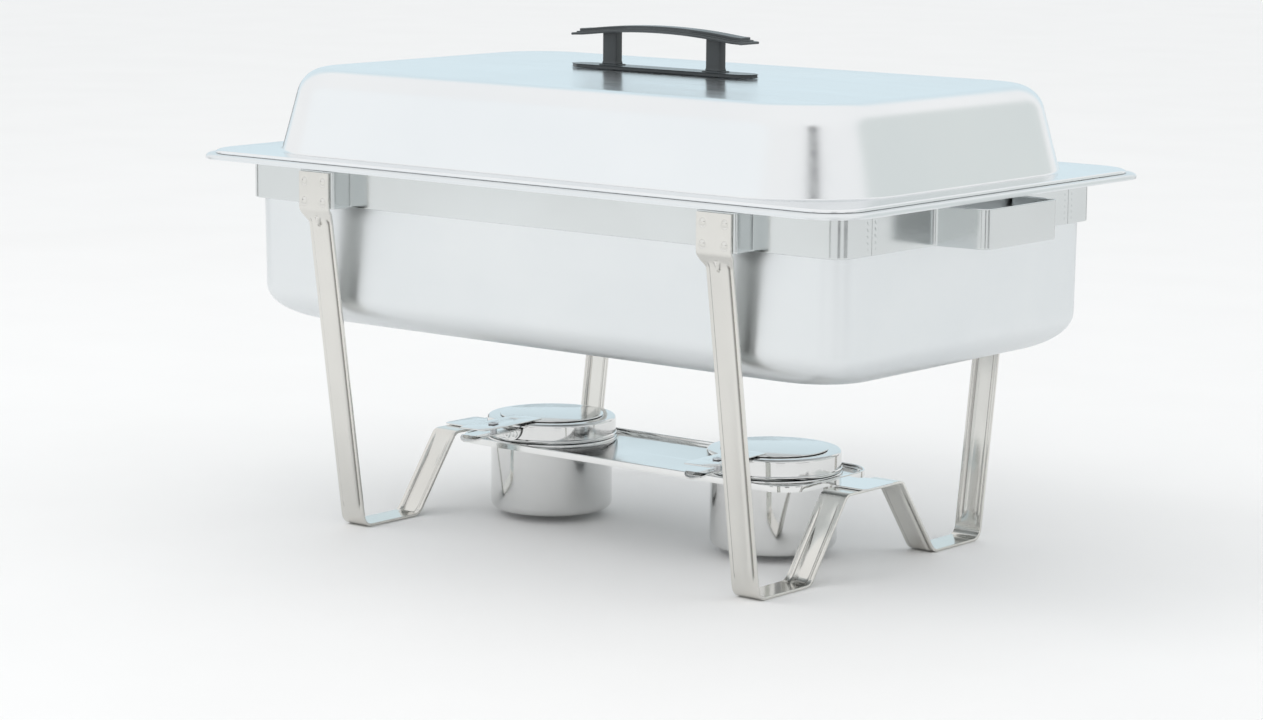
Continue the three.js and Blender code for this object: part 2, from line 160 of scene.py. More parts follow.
def steel(name, light, dark, gloss, grain, grain_bump, wave_bump, grain_scale=60):
    """Stainless sheet. gloss is its (lowest, highest) roughness, and grain stretches the brushing.

    Edges get a paler painted highlight and are smoother, and painted shade darkens the hollows.
    """
    material, tree, shader = new_material(name)
    shader.inputs["Metallic"].default_value = 1
    brushing = noise(tree, grain_scale, grain, 5, 0.65)
    smudges = noise(tree, 9, detail=4)
    waves = noise(tree, 7, detail=0)
    soft = ranged(tree, smudges, 0.3, 0.7, 0, 1)
    edges = pointiness_mask(tree)
    # Painted shade: where pointiness is low, in hollows and creases, the colour darkens to a third of the
    # dark tone.
    crease_shade = pointiness_mask(tree, 0.49, 0.45)
    tint = mixed(tree, soft, dark, light)
    # Painted highlight: convex edges are mixed towards a paler copy of the light tone.
    edge_highlight_color = tuple(min(1.0, channel * 1.06) for channel in light)
    crease_shade_color = tuple(channel * 0.35 for channel in dark)
    tint_before_crease_shade = mixed(tree, edges, tint, edge_highlight_color)
    tree.links.new(mixed(tree, crease_shade, tint_before_crease_shade, crease_shade_color), shader.inputs["Base Color"])
    low, high = gloss
    brushed = ranged(tree, brushing, 0.3, 0.7, low, high)
    marks = ranged(tree, soft, 0, 1, 0.03, -0.02)
    rough = arithmetic(tree, "ADD", brushed, marks)
    polish = arithmetic(tree, "MULTIPLY", edges, 0.04)
    tree.links.new(arithmetic(tree, "SUBTRACT", rough, polish), shader.inputs["Roughness"])
    bumped(tree, shader, ((waves, wave_bump), (brushing, grain_bump)), 0.4 * MM)
    return material


def black_plastic():
    """Moulded black plastic with a fine texture, smoother on handled edges, which also get a painted
    paler highlight.
    """
    material, tree, shader = new_material("black_plastic")
    shader.inputs["Metallic"].default_value = 0
    shader.inputs["IOR"].default_value = 1.5
    cloud = noise(tree, 45, detail=4)
    texture = noise(tree, 1500, detail=3)
    edges = pointiness_mask(tree, 0.51, 0.6)
    cloudy = ranged(tree, cloud, 0.3, 0.7, 0, 1)
    tint = mixed(tree, cloudy, (0.022, 0.028, 0.031), (0.034, 0.042, 0.046))
    # Painted highlight: convex edges are mixed towards a paler grey.
    tree.links.new(mixed(tree, edges, tint, (0.085, 0.1, 0.108)), shader.inputs["Base Color"])
    rough = ranged(tree, texture, 0.3, 0.7, 0.3, 0.42)
    handled = arithmetic(tree, "MULTIPLY", edges, 0.1)
    tree.links.new(arithmetic(tree, "SUBTRACT", rough, handled), shader.inputs["Roughness"])
    bumped(tree, shader, ((cloud, 0.05), (texture, 0.12)), 0.3 * MM)
    return material


def grey_card(name, tone):
    """A dull grey for a reflector card."""
    material, tree, shader = new_material(name)
    felt = noise(tree, 40)
    tint = mixed(tree, felt, (tone * 0.9,) * 3, (tone * 1.1,) * 3)
    tree.links.new(tint, shader.inputs["Base Color"])
    shader.inputs["Roughness"].default_value = 1
    return material


def pale_floor():
    material, tree, shader = new_material("pale_floor")
    grain = noise(tree, 6, detail=5)
    cloudy = ranged(tree, grain, 0.3, 0.7, 0, 1)
    tint = mixed(tree, cloudy, (0.885, 0.885, 0.885), (0.9, 0.9, 0.9))
    tree.links.new(tint, shader.inputs["Base Color"])
    shader.inputs["Roughness"].default_value = 0.8
    shader.inputs["Specular IOR Level"].default_value = 0.2
    return material


SATIN = steel(
    "satin_steel",
    light=(0.84, 0.855, 0.865),
    dark=(0.81, 0.83, 0.845),
    gloss=(0.18, 0.24),
    grain=(0.06, 1, 1),
    grain_bump=0.008,
    wave_bump=0.01,
    grain_scale=150,
)
PAN_STEEL = steel(
    "pan_steel",
    light=(0.79, 0.815, 0.825),
    dark=(0.76, 0.79, 0.805),
    gloss=(0.3, 0.36),
    grain=(0.06, 1, 1),
    grain_bump=0.01,
    wave_bump=0.01,
    grain_scale=150,
)
BAND_STEEL = steel(
    "band_steel",
    light=(0.7, 0.73, 0.735),
    dark=(0.65, 0.675, 0.675),
    gloss=(0.11, 0.17),
    grain=(0.04, 0.04, 1.6),
    grain_bump=0.03,
    wave_bump=0.04,
    grain_scale=90,
)
LEG_STEEL = steel(
    "leg_steel",
    light=(0.76, 0.75, 0.715),
    dark=(0.66, 0.65, 0.62),
    gloss=(0.1, 0.19),
    grain=(1.6, 0.05, 0.05),
    grain_bump=0.03,
    wave_bump=0.05,
    grain_scale=90,
)
POLISHED = steel(
    "polished_steel",
    light=(0.78, 0.785, 0.78),
    dark=(0.7, 0.705, 0.7),
    gloss=(0.05, 0.12),
    grain=(0.8, 0.8, 0.1),
    grain_bump=0.015,
    wave_bump=0.04,
)
ZINC = steel(
    "zinc_steel",
    light=(0.72, 0.73, 0.75),
    dark=(0.62, 0.63, 0.66),
    gloss=(0.25, 0.4),
    grain=(1, 1, 1),
    grain_bump=0.08,
    wave_bump=0.02,
)
PLASTIC = black_plastic()


# ---------------------------------------------------------------- mesh tools

def arc_bend(before, corner, after, radius, steps):
    """The points of the round bend that replaces a corner of a middle line."""
    back = (before - corner).normalized()
    ahead = (after - corner).normalized()
    half = back.angle(ahead) / 2
    centre = corner + (back + ahead).normalized() * (radius / math.sin(half))
    start = corner + back * (radius / math.tan(half)) - centre
    end = corner + ahead * (radius / math.tan(half)) - centre
    turn = start.angle_signed(end)
    return [centre + Matrix.Rotation(-turn * k / steps, 2) @ start for k in range(steps + 1)]


def middle_line(corners, steps=8, longest=None):
    """2-D points along (u, v) or (u, v, bend radius) corners.

    With longest set, runs longer than that are split.
    """
    places = [Vector(corner[:2]) for corner in corners]
    points = []
    for i, corner in enumerate(corners):
        if len(corner) == 2:
            points.append(places[i])
        else:
            points += arc_bend(places[i - 1], places[i], places[i + 1], corner[2], steps)
    if not longest:
        return points
    fine = [points[0]]
    for point in points[1:]:
        pieces = max(1, math.ceil((point - fine[-1]).length / longest))
        start = fine[-1]
        fine += [start.lerp(point, k / pieces) for k in range(1, pieces + 1)]
    return fine


def side_normals(line, closed=False):
    """Unit normals to the left of a 2-D line, with the stretch that keeps an offset even at bends."""
    count = len(line)
    normals = []
    for i, point in enumerate(line):
        before = line[i - 1] if i or closed else point * 2 - line[1]
        after = line[(i + 1) % count] if i < count - 1 or closed else point * 2 - line[i - 1]
        first = (point - before).normalized()
        second = (after - point).normalized()
        along = (first + second).normalized()
        normals.append(Vector((-along.y, along.x)) / max(0.3, along.dot(first)))
    return normals


def loft(rings, cap_first=True, cap_last=True, around=False):
    """Vertices and faces through closed rings of equal count; around joins the last to the first."""
    count = len(rings[0])
    verts = [point for ring in rings for point in ring]
    faces = []
    for i in range(len(rings) if around else len(rings) - 1):
        low = i * count
        high = (i + 1) % len(rings) * count
        for k in range(count):
            nxt = (k + 1) % count
            faces.append((low + k, low + nxt, high + nxt, high + k))
    if cap_first and not around:
        faces.append(tuple(reversed(range(count))))
    if cap_last and not around:
        faces.append(tuple(range(len(verts) - count, len(verts))))
    return verts, faces


def joined(*parts):
    verts, faces = [], []
    for part_verts, part_faces in parts:
        shift = len(verts)
        verts += part_verts
        faces += [tuple(v + shift for v in face) for face in part_faces]
    return verts, faces


def moved(part, matrix):
    verts, faces = part
    return [matrix @ Vector(v) for v in verts], faces


def piece(name, part, material, body, nodes, sharp=35, bevel=0):
    """Makes one visible piece that rides on a body and stands for CAD nodes."""
    verts, faces = part
    mesh = bpy.data.meshes.new(name)
    mesh.from_pydata(verts, [], faces)
    work = bmesh.new()
    work.from_mesh(mesh)
    bmesh.ops.remove_doubles(work, verts=work.verts, dist=1e-6)
    bmesh.ops.recalc_face_normals(work, faces=work.faces)
    work.to_mesh(mesh)
    work.free()
    mesh.materials.append(material)
    obj = bpy.data.objects.new(name, mesh)
    bpy.context.scene.collection.objects.link(obj)
    if bevel:
        modifier = obj.modifiers.new("edges", "BEVEL")
        modifier.width = bevel
        modifier.segments = 3
        modifier.limit_method = "ANGLE"
        modifier.angle_limit = math.radians(40)
        modifier.harden_normals = True
    for polygon in mesh.polygons:
        polygon.use_smooth = True
    mesh.set_sharp_from_angle(angle=math.radians(sharp))
    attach(obj, body)
    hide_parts(*nodes)
    return obj


def rounded_ring(half_x, half_y, corner, z, steps=12):
    """A level rectangle with round corners, as points."""
    ring = []
    for quarter in range(4):
        sign_x = 1 if quarter in (0, 3) else -1
        sign_y = 1 if quarter < 2 else -1
        for step in range(steps + 1):
            angle = (quarter + step / steps) * RIGHT_ANGLE
            x = sign_x * (half_x - corner) + corner * math.cos(angle)
            y = sign_y * (half_y - corner) + corner * math.sin(angle)
            ring.append(Vector((x, y, z)))
    return ring


def shell_profile(corners, thickness, steps=6):
    """The closed section of a pressed sheet, from a middle line in (outset, z)."""
    line = middle_line(corners, steps)
    normals = side_normals(line)
    outer = [p + n * thickness / 2 for p, n in zip(line, normals)]
    inner = [p - n * thickness / 2 for p, n in zip(line, normals)]
    return outer, inner


def pressing(corners, wall, rim, thickness, crown=0.0, keep=0.35, steps=6):
    """A pressed pan or cover. Its middle line runs from the flat middle out to the rim, as (outset, z).

    An outset is measured along X from the wall outline, a (half x, half y, plan corner). Outside it the
    half sizes and the corner run to those of the rim, and inside it the corner shrinks by keep of the
    outset. crown lifts the middle of the flat.
    """
    reach = rim[0] - wall[0]

    def ring(point):
        if point.x <= 0:
            corner = wall[2] + point.x * keep
            return rounded_ring(wall[0] + point.x, wall[1] + point.x, corner, point.y)
        sizes = [a + (b - a) * point.x / reach for a, b in zip(wall, rim)]
        return rounded_ring(*sizes, point.y)

    def middle(edge_ring):
        rings = []
        for share in (0.8, 0.6, 0.4, 0.2, 0.05):
            rise = crown * (1 - share**2)
            rings.append([Vector((v.x * share, v.y * share, v.z + rise)) for v in edge_ring])
        return rings

    left, right = shell_profile(corners, thickness, steps)
    left_rings = [ring(point) for point in left]
    right_rings = [ring(point) for point in right]
    start = middle(left_rings[0])[::-1]
    end = middle(right_rings[0])[::-1]
    return loft(start + left_rings + right_rings[::-1] + end[::-1])


def turned(profile, segments=96):
    """A lathed piece from closed (radius, height) points; a radius of 0 meets the axis."""
    rings = []
    for k in range(segments):
        angle = 2 * math.pi * k / segments
        rings.append([Vector((r * math.cos(angle), r * math.sin(angle), z)) for r, z in profile])
    return loft(rings, around=True)


def turned_sheet(corners, thickness, steps=6, segments=96):
    """A lathed sheet piece from its middle line in (radius, height)."""
    outer, inner = shell_profile(corners, thickness, steps)
    profile = [(max(p.x, 0), p.y) for p in outer + inner[::-1]]
    return turned(profile, segments)


def strip(line, place, width_at, thickness, relief=None, across=8, edge=0.4 * MM):
    """A bent strip along a 2-D middle line. place(u, v, w) puts a point w across its width.

    width_at(run) gives (lowest w, highest w) at a distance along the line, relief(run, w) pushes the
    sheet towards the line's left, and edge is the radius of the round on its long edges.
    """
    normals = side_normals(line)
    run = 0
    rings = []
    for i, point in enumerate(line):
        run += (point - line[i - 1]).length if i else 0
        low, high = width_at(run)
        near = []
        for k in range(3):
            drop = edge * (1 - math.sqrt(1 - (1 - k / 3) ** 2))
            near.append((low + edge * k / 3, thickness / 2 - drop))
        flat = []
        for k in range(across + 1):
            flat.append((low + edge + (high - low - 2 * edge) * k / across, thickness / 2))
        far = [(high + low - w, n) for w, n in reversed(near)]
        top = near + flat + far
        section = top + [(w, -n) for w, n in reversed(top)]
        ring = []
        for w, n in section:
            push = n + (relief(run, w) if relief else 0)
            spot = point + normals[i] * push
            ring.append(place(spot.x, spot.y, w))
        rings.append(ring)
    return loft(rings)


def plate(outlines, z, thickness, bevel=0.25 * MM):
    """A flat plate from closed outlines, the first its edge and the others its holes."""
    curve = bpy.data.curves.new("outline", "CURVE")
    curve.dimensions = "2D"
    curve.fill_mode = "BOTH"
    curve.extrude = thickness / 2 - bevel
    curve.bevel_depth = bevel
    curve.offset = -bevel
    curve.bevel_resolution = 2
    for outline in outlines:
        spline = curve.splines.new("POLY")
        spline.points.add(len(outline) - 1)
        for point, place in zip(spline.points, outline):
            point.co = (place[0], place[1], 0, 1)
        spline.use_cyclic_u = True
    holder = bpy.data.objects.new("outline", curve)
    bpy.context.scene.collection.objects.link(holder)
    bpy.context.view_layer.update()
    solid = holder.evaluated_get(bpy.context.evaluated_depsgraph_get())
    mesh = bpy.data.meshes.new_from_object(solid)
    verts = [v.co + Vector((0, 0, z + thickness / 2)) for v in mesh.vertices]
    faces = [tuple(polygon.vertices) for polygon in mesh.polygons]
    bpy.data.objects.remove(holder)
    bpy.data.curves.remove(curve)
    bpy.data.meshes.remove(mesh)
    return verts, faces


def circle(x, y, radius, count=72):
    """Evenly spaced (x, y) points round a centre."""
    angles = [2 * math.pi * k / count for k in range(count)]
    return [(x + radius * math.cos(a), y + radius * math.sin(a)) for a in angles]


def smooth(value):
    """An even ease from 0 to 1."""
    value = min(1.0, max(0.0, value))
    return value * value * (3 - 2 * value)


# ---------------------------------------------------------------- pans and cover

def water_pan():
    """The deep outer pan, whose wall steps out into a ledge and a turned-down rim."""
    wall = (252.2 * MM, 140 * MM, 18 * MM)
    rim = (PAN_HIGH.x, PAN_HIGH.y, 31 * MM)
    floor = PAN_LOW.z + SHEET / 2
    top = PAN_HIGH.z - SHEET / 2
    ledge = 252.15 * MM
    edge = rim[0] - wall[0] - SHEET / 2
    corners = [
        (-46 * MM, floor),
        (-0.8 * MM, floor, 22 * MM),
        (0, ledge, 3 * MM),
        (6.4 * MM, ledge, 2 * MM),
        (6.8 * MM, top, 1.6 * MM),
        (edge, top, 2 * MM),
        (edge, 254.2 * MM),
    ]
    part = pressing(corners, wall, rim, SHEET, keep=-1.1, steps=10)
    piece("water_pan_shell", part, PAN_STEEL, "water_pan", ["water_pan"], sharp=50)


def food_pan():
    """The pan that holds the food, hidden but for its rim."""
    wall = (242.6 * MM, 130.6 * MM, 40 * MM)
    rim = (FOOD_HIGH.x, FOOD_HIGH.y, 22 * MM)
    top = FOOD_HIGH.z - SHEET / 2
    corners = [
        (-44 * MM, FOOD_LOW.z + SHEET / 2),
        (-3 * MM, FOOD_LOW.z + SHEET / 2, 20 * MM),
        (0, top, 4 * MM),
        (rim[0] - wall[0], top),
    ]
    part = pressing(corners, wall, rim, SHEET)
    piece("food_pan_shell", part, PAN_STEEL, "food_pan", ["food_pan"], sharp=50)


def cover():
    """A domed cover with a nearly flat top and a turned-down flange."""
    wall = (251.3 * MM, 153.5 * MM, 68 * MM)
    rim = (DOME_HIGH.x, DOME_HIGH.y, 26 * MM)
    flange = DOME_LOW.z + 1.65 * MM
    crown = 1.7 * MM
    top = DOME_HIGH.z - crown - SHEET / 2
    edge = rim[0] - wall[0] - SHEET / 2
    corners = [
        (-60 * MM, top),
        (-15.5 * MM, top, 21 * MM),
        (0, flange, 2.2 * MM),
        (edge, flange, 1.2 * MM),
        (edge, DOME_LOW.z),
    ]
    part = pressing(corners, wall, rim, SHEET, crown, keep=1, steps=14)
    piece("cover_shell", part, SATIN, "cover", ["cover_dome"], sharp=50)


def grip_bar(half_x, half_y, low, high, rise):
    """A bar bent to the grip's arch, between two heights above its underside, with square ends."""
    arc = 500 * MM
    rings = []
    stations = 48
    for k in range(stations + 1):
        x = half_x * (2 * k / stations - 1)
        under = rise + math.sqrt(arc**2 - x**2) - arc
        flare = 0.9 * MM * smooth((abs(x) - 62 * MM) / (13 * MM))
        ring = [(-half_y, low), (half_y, low), (half_y, high), (-half_y, high)]
        rings.append([Vector((x, y, under + z + flare)) for y, z in ring])
    return loft(rings)


def tapered_box(x, half_x, half_y, low, high, spread):
    """A rounded post at x that grows by spread at its foot."""
    rings = []
    for z, grow in ((low, spread), (low + 2 * MM, 0), (high, 0)):
        rings.append(rounded_ring(half_x + grow, half_y + grow, 1.6 * MM, z, 5))
    return moved(loft(rings), Matrix.Translation((x, 0, 0)))


def cover_handle():
    """The black handle: a flanged, arched grip on two posts, and a foot with a pad under each post."""
    under = 345.5 * MM
    post_x = 45 * MM
    flange = grip_bar(74 * MM, 10 * MM, 0, 1.7 * MM, under)
    shoulder = grip_bar(71.5 * MM, 7.4 * MM, 1.2 * MM, 2.5 * MM, under)
    ridge = grip_bar(70 * MM, 5.6 * MM, 1.8 * MM, 4.3 * MM, under)
    low = BASE_HIGH.z + GAP
    posts = [tapered_box(side * post_x, 6 * MM, 4 * MM, low, under, 0.5 * MM) for _, side in SIDES]
    part = joined(flange, shoulder, ridge, *posts)
    piece("grip_moulding", part, PLASTIC, "cover", ["handle_grip"], bevel=0.55 * MM)
    outline = middle_line(
        [
            (-78 * MM, 0),
            (-78 * MM, 3.4 * MM, 1.5 * MM),
            (-70 * MM, 8.5 * MM, 4 * MM),
            (70 * MM, 8.5 * MM, 4 * MM),
            (78 * MM, 3.4 * MM, 1.5 * MM),
            (78 * MM, 0),
        ]
    )
    edge = outline + [Vector((p.x, -p.y)) for p in reversed(outline[1:-1])]
    foot_thickness = 2.5 * MM
    foot = plate([edge], BASE_LOW.z, foot_thickness, 0.9 * MM)
    pad_low = BASE_LOW.z + foot_thickness - 0.3 * MM
    pad_thickness = BASE_HIGH.z + 0.25 * MM - pad_low
    pad_ring = rounded_ring(8 * MM, 5.6 * MM, 1.4 * MM, 0, 5)
    pads = []
    for _, side in SIDES:
        outline = [(v.x + side * post_x, v.y) for v in pad_ring]
        pads.append(plate([outline], pad_low, pad_thickness, 0.4 * MM))
    piece("handle_foot", joined(foot, *pads), PLASTIC, "cover", ["handle_base"])


# ---------------------------------------------------------------- stand

def dents(places, radius, depth):
    """A relief of small round dents at (run, w) places, each with a faint ring the other way."""

    def relief(run, w):
        push = 0
        for place_run, place_w in places:
            away = math.hypot(run - place_run, w - place_w) / radius
            if away < 2.5:
                push += depth * (math.exp(-away * away) - 0.45 * math.exp(-((away - 1.5) ** 2) * 4))
        return push

    return relief


def line_length(line):
    return sum((b - a).length for a, b in zip(line, line[1:]))


def finer_ends(line, reach, step):
    """Splits a line's runs within reach of both its ends, where spot welds need close points."""
    total = line_length(line)
    fine = [line[0]]
    run = 0
    for start, end in zip(line, line[1:]):
        length = (end - start).length
        near_end = run < reach or run + length > total - reach
        pieces = max(1, math.ceil(length / step)) if near_end else 1
        fine += [start.lerp(end, k / pieces) for k in range(1, pieces + 1)]
        run += length
    return fine


def upright_strip(name, node, line, turn, low, high):
    """A band strip standing on edge, turned about Z, with a row of spot welds at each of its ends."""
    weld_inset = 4 * MM
    weld_pitch = 4 * MM
    middle = (BAND_LOW.z + BAND_HIGH.z) / 2
    ends = (weld_inset, line_length(line) - weld_inset)
    marks = [(end, middle + k * weld_pitch) for end in ends for k in (-2, -1, 0, 1, 2)]
    relief = dents(marks, 1.1 * MM, 0.16 * MM)

    def place(u, v, w):
        return Matrix.Rotation(turn, 4, "Z") @ Vector((u, v, w))

    part = strip(line, place, lambda run: (low, high), STRIP, relief, across=30)
    piece(name, part, BAND_STEEL, "stand", [node], sharp=40)


def long_band(name, node, turn):
    """The front or rear strip: round both corners, and stepped out into a pocket at each leg."""
    pocket_half = 15.75 * MM
    band_half_y = 143.3 * MM
    x = BAND_HIGH.x - STRIP / 2
    y = band_half_y - STRIP / 2
    pocket = -BAND_LOW.y - STRIP / 2
    seam = -BAND_HIGH.y
    near = LEG_X - pocket_half + STRIP / 2
    far = LEG_X + pocket_half - STRIP / 2
    half = [
        (near, -y, 1 * MM),
        (near, -pocket, 2 * MM),
        (far, -pocket, 2 * MM),
        (far, -y, 1 * MM),
        (x, -y, 11 * MM),
        (x, -seam),
    ]
    mirrored = [(-c[0], *c[1:]) for c in reversed(half)]
    line = finer_ends(middle_line(mirrored + half, 10, 4 * MM), 8 * MM, 0.6 * MM)
    upright_strip(name, node, line, turn, BAND_LOW.z, BAND_HIGH.z)


def end_strip(name, node, turn):
    """A short side strip, whose middle stands out as the grip."""
    out = END_HIGH.x - STRIP / 2
    x = BAND_HIGH.x - STRIP / 2
    half = [
        (out, 39.8 * MM, 5 * MM),
        (x, 43.5 * MM, 4 * MM),
        (x, END_HIGH.y),
    ]
    mirrored = [(c[0], -c[1], *c[2:]) for c in reversed(half)]
    line = finer_ends(middle_line(mirrored + half, 10, 3 * MM), 8 * MM, 0.6 * MM)
    upright_strip(name, node, line, turn, END_LOW.z, END_HIGH.z)


def leg_relief(total, neck, leg_half):
    """The pressed flutes, dimple and spot welds of a leg strip, alike from both its ends.

    total is the strip's whole length, neck is where the plate ends, and leg_half is half its width.
    """
    weld_side = 8.6 * MM
    weld_runs = (6 * MM, 19.5 * MM)
    welds = [(run, side * weld_side) for run in weld_runs for side in (-1, 1)]
    weld_marks = dents(welds, 1.5 * MM, -0.5 * MM)

    # Distances down the half strip at which the flutes fade in and out.
    flute_top = neck + 4 * MM
    leg_foot = 244 * MM
    slope_start = 302 * MM
    slope_end = 372 * MM
    slope_share = 0.8

    dimple_top = neck + 3 * MM
    dimple_length = 9 * MM
    dimple_half = 3.4 * MM
    dimple_depth = 1.8 * MM

    def flute(from_end, w):
        t = abs(w) / leg_half
        on_leg = smooth((from_end - flute_top) / (6 * MM)) * smooth((leg_foot - from_end) / (9 * MM))
        into_slope = smooth((from_end - slope_start) / (9 * MM))
        out_of_slope = smooth((slope_end - from_end) / (22 * MM))
        amount = max(on_leg, slope_share * into_slope * out_of_slope)
        shoulder = smooth((0.7 - t) / 0.12)
        dish = max(0, 1 - (t / 0.5) ** 2)
        groove = math.exp(-(((t - 0.74) / 0.07) ** 2))
        return amount * (1.5 * shoulder - 0.6 * dish - 0.5 * groove) * MM

    def dimple(from_end, w):
        down = (from_end - dimple_top) / dimple_length
        if not 0 < down < 1:
            return 0
        inside = 1 - abs(w) / (dimple_half * (1 - down) + 0.1 * MM)
        return dimple_depth * smooth(inside) * smooth(down * 4)

    def relief(run, w):
        from_end = min(run, total - run)
        return -(flute(from_end, w) + dimple(from_end, w)) + weld_marks(from_end, w)

    return relief


def leg_strip(name, node, x):
    """Both legs, both feet and the raised middle, with pressed flutes and spot welds."""
    half_t = LEG_THICKNESS / 2
    middle_top = 55.7 * MM
    foot_y = 126 * MM
    shoulder_y = 157 * MM
    plate_y = LEG_HIGH.y - half_t
    plate_top = 250.4 * MM
    half = [
        (31 * MM, middle_top - half_t, 7 * MM),
        (70 * MM, half_t, 9 * MM),
        (foot_y - half_t, half_t, 8 * MM),
        (shoulder_y - half_t, 216 * MM, 6 * MM),
        (plate_y, 225 * MM, 4 * MM),
        (plate_y, plate_top),
    ]
    mirrored = [(-c[0], *c[1:]) for c in reversed(half)]
    line = finer_ends(middle_line(mirrored + half, 10, 2 * MM), 42 * MM, 0.7 * MM)
    total = line_length(line)
    plate_half = 27.5 * MM / 2
    leg_half = 21 * MM / 2
    neck = 27 * MM
    below_neck = neck + 11 * MM

    def width(run):
        from_end = min(run, total - run)
        share = smooth((from_end - neck) / (below_neck - neck))
        half_width = plate_half + (leg_half - plate_half) * share
        return (-half_width, half_width)

    def place(u, v, w):
        return Vector((x + w, u, v))

    relief = leg_relief(total, neck, leg_half)
    part = strip(line, place, width, LEG_THICKNESS, relief, across=44)
    piece(name, part, LEG_STEEL, "stand", [node], sharp=60)


def shelf_rim(half_x, half_y, corner, floor):
    """The shelf's curled rim, a thin closed section carried round its outline."""
    curl = SHELF_HIGH.z - 0.4 * MM
    lip = floor + 2.3 * MM
    section = middle_line(
        [
            (-4.5 * MM, floor + 0.5 * MM),
            (-2.6 * MM, floor + 0.5 * MM, 0.5 * MM),
            (-2.2 * MM, lip, 0.5 * MM),
            (-1.3 * MM, lip, 0.4 * MM),
            (-1.1 * MM, curl, 0.3 * MM),
            (-0.4 * MM, curl, 0.3 * MM),
            (-0.4 * MM, floor),
        ],
        4,
    )
    normals = side_normals(section)
    outer = [p + n * 0.4 * MM for p, n in zip(section, normals)]
    inner = [p - n * 0.4 * MM for p, n in zip(section, normals)]
    rings = []
    for p in outer + inner[::-1]:
        rings.append(rounded_ring(half_x + p.x, half_y + p.x, corner + p.x, p.y, 16))
    return loft(rings, around=True)


def shelf_tab(side, half_x):
    """The tongue that the shelf reaches onto a leg strip's raised middle."""
    end = SHELF_HIGH.x
    low = 56 * MM
    outline = middle_line(
        [
            (half_x - 4 * MM, 0),
            (half_x - 4 * MM, 20 * MM),
            (half_x + 3 * MM, 12.5 * MM, 3 * MM),
            (half_x + 9 * MM, 12.5 * MM, 2 * MM),
            (half_x + 14 * MM, 17 * MM, 2 * MM),
            (end, 17 * MM, 4 * MM),
            (end, 0),
        ]
    )
    whole = outline + [Vector((p.x, -p.y)) for p in reversed(outline[1:-1])]
    return plate([[(side * p.x, p.y) for p in whole]], low, 1 * MM)


def burner_shelf():
    """A sheet with two holes for the cups, a curled rim, and a tab at each end."""
    half_x = 150 * MM
    half_y = SHELF_HIGH.y
    corner = 24 * MM
    floor = SHELF_LOW.z
    inset = 3 * MM
    hole = 44.2 * MM
    edge_ring = rounded_ring(half_x - inset, half_y - inset, corner - inset, 0, 16)
    edge = [(v.x, v.y) for v in edge_ring]
    holes = [circle(side * HOLDER_X, 0, hole) for _, side in SIDES]
    sheet = plate([edge, *holes], floor, 1 * MM)
    rim = shelf_rim(half_x, half_y, corner, floor)
    tabs = [shelf_tab(side, half_x) for _, side in SIDES]
    part = joined(sheet, rim, *tabs)
    piece("shelf_pressing", part, POLISHED, "stand", ["burner_shelf"], sharp=40)


# ---------------------------------------------------------------- fuel holders

def holder_place(side):
    """Where a holder's own axes stand: on its axis, turned with its lever."""
    return Matrix.Translation((side * HOLDER_X, 0, 0)) @ Matrix.Rotation(LEVER_TURN, 4, "Z")


def fuel_cup(name, place):
    """A round cup with a rolled bead under its mouth."""
    radius = 43 * MM - SHEET / 2
    low = CUP_LOW.z + SHEET / 2
    bead = 55.9 * MM
    corners = [
        (0, low),
        (radius, low, 5 * MM),
        (radius, bead - 1.4 * MM, 0.6 * MM),
        (radius + 3.5 * MM, bead - 1.2 * MM, 1 * MM),
        (radius + 3.5 * MM, bead + 1.2 * MM, 1 * MM),
        (radius, bead + 1.3 * MM, 0.6 * MM),
        (radius, CUP_HIGH.z),
    ]
    part = moved(turned_sheet(corners, SHEET * 0.9), place)
    body = f"{name}_holder"
    piece(f"{name}_cup_shell", part, POLISHED, body, [f"{name}_cup"], sharp=50)


def fuel_cap(name, place):
    """A ring that closes over the cup's mouth, open in the middle for the flame."""
    radius = CAP_RADIUS - SHEET / 2
    top = CAP_HIGH.z - SHEET / 2
    low = CAP_LOW.z
    corners = [
        (27 * MM, top - 1.6 * MM),
        (27.4 * MM, top, 0.7 * MM),
        (radius, top, 1.8 * MM),
        (radius, low + 2.4 * MM, 0.4 * MM),
        (radius + 0.7 * MM, low + 1.6 * MM, 0.5 * MM),
        (radius + 0.5 * MM, low + 0.2 * MM),
    ]
    part = moved(turned_sheet(corners, SHEET * 0.8), place)
    body = f"{name}_cap_body"
    piece(f"{name}_cap_shell", part, POLISHED, body, [f"{name}_cap"], sharp=50)


def rounded_end(run, reach, half):
    """Half width of a strip whose end is a round of radius half."""
    if run >= half:
        return reach
    return reach * math.sqrt(max(0.02, 1 - (1 - run / half) ** 2))


def damper_bracket(name, place):
    """A small bent tongue from the cap's side, which carries the damper's pivot."""
    y = -(CAP_RADIUS + GAP + 0.5 * MM)
    level = 68 * MM
    corners = [
        (y, 59 * MM),
        (y, level, 1.5 * MM),
        (-90 * MM, level, 3 * MM),
        (-97 * MM, level - 2.5 * MM),
    ]
    line = middle_line(corners, 8, 0.4 * MM)
    total = line_length(line)
    half = 9 * MM

    def width(run):
        reach = min(rounded_end(run, half, half), rounded_end(total - run, half, half))
        return (-reach, reach)

    welds = dents([(4.8 * MM, -3 * MM), (4.8 * MM, 3 * MM)], 1.4 * MM, 0.25 * MM)

    def put(u, v, w):
        return place @ Vector((w, u, v))

    part = strip(line, put, width, 1 * MM, welds, 40, 0.3 * MM)
    body = f"{name}_cap_body"
    nodes = [f"{name}_damper_bracket"]
    piece(f"{name}_bracket_strip", part, POLISHED, body, nodes, sharp=60)


